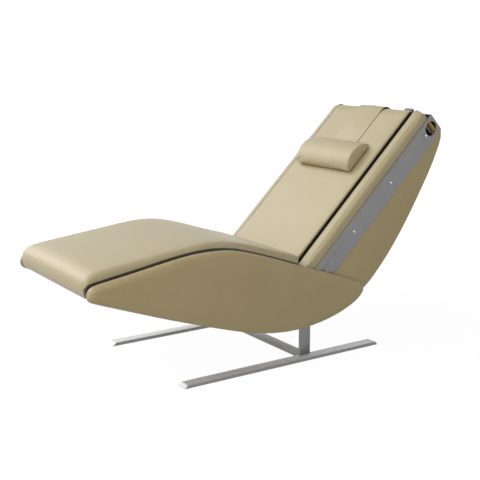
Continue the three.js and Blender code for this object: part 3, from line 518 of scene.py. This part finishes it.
# Padding under pressure: the form is drawn in, blown up against its limit and smoothed.
def inflate(piece, look, held):
    selectOnly(piece)
    piece.data.remesh_voxel_size = look["voxel"]
    bpy.ops.object.voxel_remesh()
    addModifier(piece, "DISPLACE", strength=-look["swell"], mid_level=0)
    addModifier(piece, "SMOOTH", factor=0.5, iterations=look["smoothing"])
    applyModifiers(piece)
    before = [vertex.co.copy() for vertex in piece.data.vertices]
    grip = piece.vertex_groups.new(name="held")
    grip.add([i for i, point in enumerate(before) if held(point)], 1.0, "REPLACE")
    cloth = addModifier(piece, "CLOTH")
    cloth.settings.quality = clothLook["quality"]
    cloth.settings.mass = clothLook["mass"]
    cloth.settings.use_pressure = True
    cloth.settings.uniform_pressure_force = look["pressure"]
    cloth.settings.tension_stiffness = clothLook["tightness"]
    cloth.settings.compression_stiffness = clothLook["tightness"]
    cloth.settings.bending_stiffness = look["stiffness"]
    cloth.settings.vertex_group_mass = "held"
    cloth.settings.effector_weights.gravity = 0
    cloth.point_cache.frame_start = 1
    cloth.point_cache.frame_end = clothLook["steps"]
    for step in range(clothLook["steps"]):
        scene.frame_set(step + 1)
    applyModifiers(piece)
    scene.frame_set(1)
    piece.vertex_groups.clear()
    for vertex, start in zip(piece.data.vertices, before):
        move = vertex.co - start
        if move.length > look["swell"]:
            vertex.co = start + move.normalized() * look["swell"]
    addModifier(piece, "SMOOTH", factor=0.5, iterations=look["smoothing"])
    addModifier(piece, "SUBSURF", levels=1, render_levels=1)
    applyModifiers(piece)
    selectOnly(piece)
    bpy.ops.object.shade_smooth()
    print(piece.name, "padded,", len(piece.data.polygons), "faces")


def mirrored(piece, pieceName):
    twin = bpy.data.objects.new(pieceName, piece.data.copy())
    twin.data.name = pieceName
    scene.collection.objects.link(twin)
    twin.data.transform(Matrix.Diagonal((-1, 1, 1, 1)))
    twin.data.flip_normals()
    return twin


seamLook = {"halfWidth": 0.0013, "depth": 0.0013, "reach": 0.00006}
stitchLook = {"length": 0.0042, "thread": 0.0010, "pitch": 0.0058, "lift": 0.0001}


def onCut(point, x):
    return abs(point.x - x) < seamLook["reach"]


# A seam right round a piece: the skin is cut across x and drawn in along the middle cut.
def sewSeam(piece, x, look=seamLook):
    with editing(piece):
        bpy.ops.mesh.select_mode(type="VERT")
        for offset in (-look["halfWidth"], 0, look["halfWidth"]):
            bpy.ops.mesh.select_all(action="SELECT")
            bpy.ops.mesh.bisect(
                plane_co=(x + offset, 0, 0), plane_no=(1, 0, 0), threshold=look["reach"] * 0.8)
    inward = [(vertex, -vertex.normal) for vertex in piece.data.vertices if onCut(vertex.co, x)]
    for vertex, way in inward:
        vertex.co += Vector((0, way.y, way.z)) * look["depth"]


# The points along the cut at x, in order and lifted off the skin, where its stitches show.
def seamPath(piece, x, shows):
    form = bmesh.new()
    form.from_mesh(piece.data)
    waiting = [vertex for vertex in form.verts if onCut(vertex.co, x) and shows(vertex)]
    left = {vertex.index for vertex in waiting}

    def following(vertex):
        others = [edge.other_vert(vertex) for edge in vertex.link_edges]
        return sorted((other for other in others if other.index in left), key=lambda other: other.index)

    ends = [vertex for vertex in waiting if len(following(vertex)) == 1]
    current = ends[0] if ends else waiting[0]
    path = []
    while current:
        left.discard(current.index)
        path.append(current.co + current.normal * stitchLook["lift"])
        current = next(iter(following(current)), None)
    form.free()
    return path


# One stitch is modelled and repeated along the path as often as it fits.
def stitchAlong(path, pieceName, nodeName, look=stitchLook):
    line = bpy.data.curves.new(pieceName + "Path", "CURVE")
    line.dimensions = "3D"
    spline = line.splines.new("POLY")
    spline.points.add(len(path) - 1)
    for spot, place in zip(spline.points, path):
        spot.co = (*place, 1)
    guide = bpy.data.objects.new(pieceName + "Path", line)
    scene.collection.objects.link(guide)
    bpy.ops.object.select_all(action="DESELECT")
    bpy.ops.mesh.primitive_uv_sphere_add(
        segments=6, ring_count=4, radius=look["thread"] / 2, location=(look["pitch"] / 2, 0, 0),
        rotation=(0, pi / 2, 0))
    stitches = bpy.context.object
    stitches.name = pieceName
    bpy.ops.object.transform_apply(location=True, rotation=True, scale=True)
    stitches.data.transform(Matrix.Translation((-look["pitch"] / 2, 0, 0)))
    stitches.data.transform(Matrix.Diagonal((look["length"] / look["thread"], 1, 1, 1)))
    stitches.data.transform(Matrix.Translation((look["pitch"] / 2, 0, 0)))
    addModifier(
        stitches, "ARRAY", fit_type="FIT_CURVE", curve=guide, use_relative_offset=False,
        use_constant_offset=True, constant_offset_displace=(look["pitch"], 0, 0))
    addModifier(stitches, "CURVE", object=guide, deform_axis="POS_X")
    applyModifiers(stitches)
    bpy.data.objects.remove(guide)
    selectOnly(stitches)
    bpy.ops.object.shade_smooth()
    settle(stitches, nodeName, thread)


paintedGapLook = {"above": 0.002, "fade": 0.008, "sideways": 0.5, "reach": 0.03}


# Painted shade: the side that looks across a gap is painted near black, up to just above the neighbour's
# crest at x, where only shade falls.
def paintGapShade(piece, neighbour, crestX, look=paintedGapLook):
    form = frame["nodes"][neighbour].data
    skin = BVHTree.FromPolygons(
        [vertex.co for vertex in form.vertices], [face.vertices for face in form.polygons])
    gapShadeMask = piece.data.attributes.get("gapShadeMask") or piece.data.attributes.new("gapShadeMask", "FLOAT", "POINT")
    for vertex in piece.data.vertices:
        across = crestX - vertex.co.x
        if abs(across) > look["reach"] or vertex.normal.x * across < look["sideways"] * abs(across):
            continue
        spot = Vector((crestX, vertex.co.y, vertex.co.z))
        nearest, normal, _, _ = skin.find_nearest(spot)
        outside = (spot - nearest).dot(normal)
        gapShadeMask.data[vertex.index].value = clamped(0.5 + (look["above"] - outside) / look["fade"])


cushionLook = {
    "voxel": 0.0082, "swell": 0.003, "smoothing": 2, "pressure": 5, "stiffness": 0.4, "fill": 0.9,
    "seamFromSide": 0.010, "panelCrest": 0.008,
}
cushion = softCage("seat_cushion", "seatCushion")
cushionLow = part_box("seat_cushion")[0].z
inflate(cushion, cushionLook, lambda point: point.z < cushionLow)
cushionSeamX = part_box("seat_cushion")[1].x - cushionLook["seamFromSide"]
for x in (-cushionSeamX, cushionSeamX):
    sewSeam(cushion, x)
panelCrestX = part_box("side_panel_left")[0].x + cushionLook["panelCrest"]
# Painted shade on the cushion's sides where they face the side panels.
paintGapShade(cushion, "side_panel_left", panelCrestX)
paintGapShade(cushion, "side_panel_right", -panelCrestX)
settle(cushion, "seat_cushion", leather)
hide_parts("seat_cushion")

panelLook = {
    "voxel": 0.0055, "swell": 0.002, "smoothing": 3, "pressure": 3, "stiffness": 0.8, "fill": 0.95,
    "heldDepth": 0.006,
}
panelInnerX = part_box("side_panel_left")[0].x
panelLeft = softCage("side_panel_left", "sidePanelLeft")
inflate(panelLeft, panelLook, lambda point: point.x < panelInnerX + panelLook["heldDepth"])
panelRight = mirrored(panelLeft, "sidePanelRight")
for panel, nodeName in ((panelLeft, "side_panel_left"), (panelRight, "side_panel_right")):
    settle(panel, nodeName, leatherSide)
    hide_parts(nodeName)

padLook = {
    "voxel": 0.0072, "swell": 0.003, "smoothing": 2, "pressure": 4, "stiffness": 0.5, "fill": 0.9,
    "heldDepth": 0.012, "bolsterCrest": 0.012,
}
backPad = copyNode("back_pad", "backPad")
padBackOut = min(backOut(vertex.co) for vertex in backPad.data.vertices)
inflate(backPad, padLook, lambda point: backOut(point) < padBackOut + padLook["heldDepth"])
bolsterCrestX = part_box("bolster_left")[0].x + padLook["bolsterCrest"]
# Painted shade on the pad's edges where they face the bolsters.
paintGapShade(backPad, "bolster_left", bolsterCrestX)
paintGapShade(backPad, "bolster_right", -bolsterCrestX)
settle(backPad, "back_pad", leather)
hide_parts("back_pad")

bolsterLook = {
    "voxel": 0.0040, "swell": 0.002, "smoothing": 2, "pressure": 4, "stiffness": 0.5, "fill": 0.95,
    "heldDepth": 0.010, "seamFromInside": 0.012, "stitchedFrom": 0.030, "padCrest": 0.011,
    "fuller": 0.007, "roll": 0.010, "frontDepth": 0.035, "footTaper": 0.15,
}
bolsterLeft = copyNode("bolster_left", "bolsterLeft")
bolsterBackOut = min(backOut(vertex.co) for vertex in bolsterLeft.data.vertices)
bolsterInside, bolsterOutside = (corner.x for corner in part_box("bolster_left"))
bolsterFrontOut = max(backOut(vertex.co) for vertex in bolsterLeft.data.vertices)
bolsterFoot = min(backAlong(vertex.co) for vertex in bolsterLeft.data.vertices)

# Its front stands fuller towards the outer roll than the CAD form.
for vertex in bolsterLeft.data.vertices:
    outward = clamped((vertex.co.x - bolsterInside) / (bolsterOutside - bolsterLook["roll"] - bolsterInside))
    forward = clamped((backOut(vertex.co) - bolsterFrontOut) / bolsterLook["frontDepth"] + 1)
    upward = clamped((backAlong(vertex.co) - bolsterFoot) / bolsterLook["footTaper"])
    vertex.co += outOfBack * (bolsterLook["fuller"] * outward * forward * upward)
inflate(bolsterLeft, bolsterLook, lambda point: backOut(point) < bolsterBackOut + bolsterLook["heldDepth"])
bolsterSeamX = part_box("bolster_left")[0].x + bolsterLook["seamFromInside"]
sewSeam(bolsterLeft, bolsterSeamX)
# Painted shade on the bolster's side where it faces the pad.
paintGapShade(bolsterLeft, "back_pad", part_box("back_pad")[1].x - bolsterLook["padCrest"])
bolsterRight = mirrored(bolsterLeft, "bolsterRight")
for bolster, side, x in ((bolsterLeft, "left", bolsterSeamX), (bolsterRight, "right", -bolsterSeamX)):
    nodeName = f"bolster_{side}"
    settle(bolster, nodeName, leather)
    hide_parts(nodeName)
    path = seamPath(
        bolster, x, lambda vertex: backOut(vertex.co) > bolsterBackOut + bolsterLook["stitchedFrom"])
    stitchAlong(path, f"bolsterStitches{side.title()}", nodeName)

pillowLook = {
    "voxel": 0.0036, "swell": 0.0025, "smoothing": 2, "pressure": 4, "stiffness": 0.4, "fill": 0.85,
    "heldDepth": 0.004, "seamFromEnd": 0.007,
}
pillow = softCage("head_pillow", "headPillow")
pillowBackOut = min(backOut(vertex.co) for vertex in pillow.data.vertices)
inflate(pillow, pillowLook, lambda point: backOut(point) < pillowBackOut + pillowLook["heldDepth"])
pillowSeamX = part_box("head_pillow")[1].x - pillowLook["seamFromEnd"]
for x in (-pillowSeamX, pillowSeamX):
    sewSeam(pillow, x)
settle(pillow, "head_pillow", leather)
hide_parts("head_pillow")

# A hard hull covered in leather, its sides sewn on where its edges start to turn.
shellLook = {"seamFromSide": 0.011, "fill": 1.0}
shell = copyNode("back_shell", "backShell")
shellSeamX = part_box("back_shell")[1].x - shellLook["seamFromSide"]
for x in (-shellSeamX, shellSeamX):
    sewSeam(shell, x)
smoothByAngle(shell, 30)
settle(shell, "back_shell", leatherSide)
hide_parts("back_shell")

bellyLook = {"edge": 0.002}
belly = copyNode("belly_cover", "bellyCover")
joinFlat(belly)
breakEdges(belly, bellyLook["edge"], 3, 50)
smoothByAngle(belly, 30)
settle(belly, "belly_cover", leatherSide)
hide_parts("belly_cover")

# Cut flat, laid over the pad and round its head end, with its cut sides painted near-black brown as painted
# shade, and a row of stitches along each.
strapLook = {
    "width": 0.166, "length": 0.388, "edge": 0.0005, "seamFromSide": 0.008,
    "stitchedFacing": 0.4, "shadedSideFacing": 0.9,
    "seam": {"halfWidth": 0.0013, "depth": 0.0003, "reach": seamLook["reach"]},
}
strap = copyNode("pillow_strap", "pillowStrap")
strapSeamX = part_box("pillow_strap")[1].x - strapLook["seamFromSide"]
joinFlat(strap)
facingOut = (alongBack + outOfBack).normalized()
for x, side in ((-strapSeamX, "Right"), (strapSeamX, "Left")):
    sewSeam(strap, x, strapLook["seam"])
    path = seamPath(
        strap, x, lambda vertex: vertex.normal.dot(facingOut) > strapLook["stitchedFacing"])
    stitchAlong(path, f"strapStitches{side}", "pillow_strap")
breakEdges(strap, strapLook["edge"], 2, 50)
smoothByAngle(strap, 40)
settle(strap, "pillow_strap", leather)
strap.data.materials.append(strapSideShade)
# Painted shade on the strap's side faces.
for face in strap.data.polygons:
    face.material_index = 1 if abs(face.normal.x) > strapLook["shadedSideFacing"] else 0
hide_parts("pillow_strap")
print("upholstery made")

# A moulded ring that lines the round port in each side band.
edgingLook = {
    "fromHead": 0.043, "radius": 0.0348, "thickness": 0.0032, "inward": 0.0004,
    "stretch": 1.5,  # its depth into the port, as a share of its thickness
    "corners": 72, "roundCorners": 12,
}
bandHead = max(backAlong(vertex.co) for vertex in frame["nodes"]["side_band_left"].data.vertices)
portMiddle = hinge + alongBack * (bandHead - edgingLook["fromHead"])


def makeEdging(side, sign):
    low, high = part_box(f"side_band_{side}")
    place = Vector(((low.x + high.x) / 2, portMiddle.y, portMiddle.z))
    bpy.ops.object.select_all(action="DESELECT")
    bpy.ops.mesh.primitive_torus_add(
        major_radius=edgingLook["radius"], minor_radius=edgingLook["thickness"] / 2,
        major_segments=edgingLook["corners"], minor_segments=edgingLook["roundCorners"],
        location=place, rotation=(0, pi / 2, 0))
    edging = bpy.context.object
    edging.name = f"portEdging{side.title()}"
    bpy.ops.object.transform_apply(location=True, rotation=True, scale=True)
    for vertex in edging.data.vertices:
        depth = (vertex.co.x - place.x) * edgingLook["stretch"]
        vertex.co.x = place.x + depth - sign * edgingLook["inward"]
    selectOnly(edging)
    bpy.ops.object.shade_smooth()
    settle(edging, f"side_band_{side}", leatherSide)


for side, sign in (("left", 1), ("right", -1)):
    makeEdging(side, sign)
print("port edgings made")

# A domed head on a thin flange.
screwLook = {"radius": 0.0080, "flange": 0.0008, "lip": 0.0006, "dome": 0.0046, "steps": 8, "corners": 40}


def makeScrew(side, place):
    nodeName = f"band_screw_{side}_{place}"
    middle = middleOf(nodeName)
    radius = screwLook["radius"]
    face = max(abs(corner.x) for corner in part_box(f"side_band_{side}"))
    bpy.ops.object.select_all(action="DESELECT")
    bpy.ops.mesh.primitive_cylinder_add(
        vertices=screwLook["corners"], radius=radius, depth=screwLook["flange"],
        location=(0, 0, screwLook["flange"] / 2))
    screw = bpy.context.object
    screw.name = f"bandScrew{side.title()}{place}"
    bpy.ops.object.transform_apply(location=True, rotation=True, scale=True)
    foot = radius - screwLook["lip"]
    turns = [pi / 2 * step / screwLook["steps"] for step in range(screwLook["steps"])]
    with editing(screw):
        pickFaces(screw, lambda at, normal: normal.z > 0.9)
        bpy.ops.mesh.inset(thickness=screwLook["lip"])
        for before, after in zip(turns, turns[1:]):
            bpy.ops.mesh.inset(
                thickness=foot * (cos(before) - cos(after)),
                depth=screwLook["dome"] * (sin(after) - sin(before)))
    screw.data.transform(Matrix.Rotation(pi / 2, 4, "Y"))
    screw.data.transform(Matrix.Translation((face, middle.y, middle.z)))
    if side == "right":
        screw.data.transform(Matrix.Diagonal((-1, 1, 1, 1)))
        screw.data.flip_normals()
    smoothByAngle(screw, 50)
    settle(screw, nodeName, capSteel)
    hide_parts(nodeName)


for side in ("left", "right"):
    for place in (1, 2, 3):
        makeScrew(side, place)
print("screws made")

studio = {
    "floorSize": 40, "floorDrop": 0.0006, "floorGrey": 0.25, "ambient": 0.10,
    "nearGlow": 0.86, "farGlow": 1.0, "near": 1.2, "far": 3.5, "glowStrength": 1.13,
    "target": (0, 0.4, 0.8),
}
lamps = {
    "frontTop": {"toward": (-0.25, -0.62, 0.74), "distance": 6.0, "size": 5.0, "power": 190},
    "leftSoftbox": {"toward": (-0.83, -0.39, 0.41), "distance": 7.0, "size": 6.0, "power": 205},
    "footLamp": {"toward": (0.3, -0.93, 0.2), "distance": 6.0, "size": 4.0, "power": 118},
    "sideFill": {"toward": (0.9, -0.3, 0.32), "distance": 6.0, "size": 4.0, "power": 112},
}


# 1 for rays that look straight at the backdrop: the camera's, mirrored ones and those through glass.
def seenRays(wire):
    names = ("Is Camera Ray", "Is Glossy Ray", "Is Transmission Ray")
    path = wire.tree.nodes.new("ShaderNodeLightPath")
    camera, glossy, through = (Wire(wire.tree, path.outputs[name]) for name in names)
    seen = camera + glossy + through
    return wire.calc("MINIMUM", seen, 1.0)


bpy.ops.object.select_all(action="DESELECT")
bpy.ops.mesh.primitive_plane_add(size=studio["floorSize"], location=(0, 0, -studio["floorDrop"]))
floor = bpy.context.object
floor.name = "floor"
floorPaint = bpy.data.materials.new("floorPaint")
floorPaint.use_nodes = True
floorPaint.node_tree.nodes.clear()
paint = Wire(floorPaint.node_tree, None)
grey = studio["floorGrey"]
matte = paint.add("ShaderNodeBsdfDiffuse", {}, {"Color": (grey, grey, grey, 1)})
glow = paint.add("ShaderNodeEmission", {}, {"Color": (1, 1, 1, 1), "Strength": studio["glowStrength"]})
spot = paint.add("ShaderNodeTexCoord", output=3)
away = paint.add("ShaderNodeVectorMath", {"operation": "LENGTH"}, {0: spot}, output=1)
share = away.spread(studio["near"], studio["far"], studio["nearGlow"], studio["farGlow"])
mixed = paint.add("ShaderNodeMixShader", {}, {0: seenRays(paint) * share, 1: matte, 2: glow})
paint.tree.links.new(mixed.socket, paint.tree.nodes.new("ShaderNodeOutputMaterial").inputs["Surface"])
floor.data.materials.append(floorPaint)

sky = bpy.data.worlds.new("studioSky")
scene.world = sky
sky.use_nodes = True
sky.node_tree.nodes.clear()
air = Wire(sky.node_tree, None)
strength = seenRays(air) * (1 - studio["ambient"]) + studio["ambient"]
background = air.add("ShaderNodeBackground", {}, {"Color": (1, 1, 1, 1), "Strength": strength})
air.tree.links.new(background.socket, air.tree.nodes.new("ShaderNodeOutputWorld").inputs["Surface"])

for name, lamp in lamps.items():
    data = bpy.data.lights.new(name, "AREA")
    data.shape = "SQUARE"
    data.size = lamp["size"]
    data.energy = lamp["power"]
    light = bpy.data.objects.new(name, data)
    toward = Vector(lamp["toward"]).normalized()
    light.location = Vector(studio["target"]) + toward * lamp["distance"]
    light.rotation_euler = toward.to_track_quat("Z", "Y").to_euler()
    scene.collection.objects.link(light)

scene.view_settings.view_transform = "Standard"
print("studio ready")
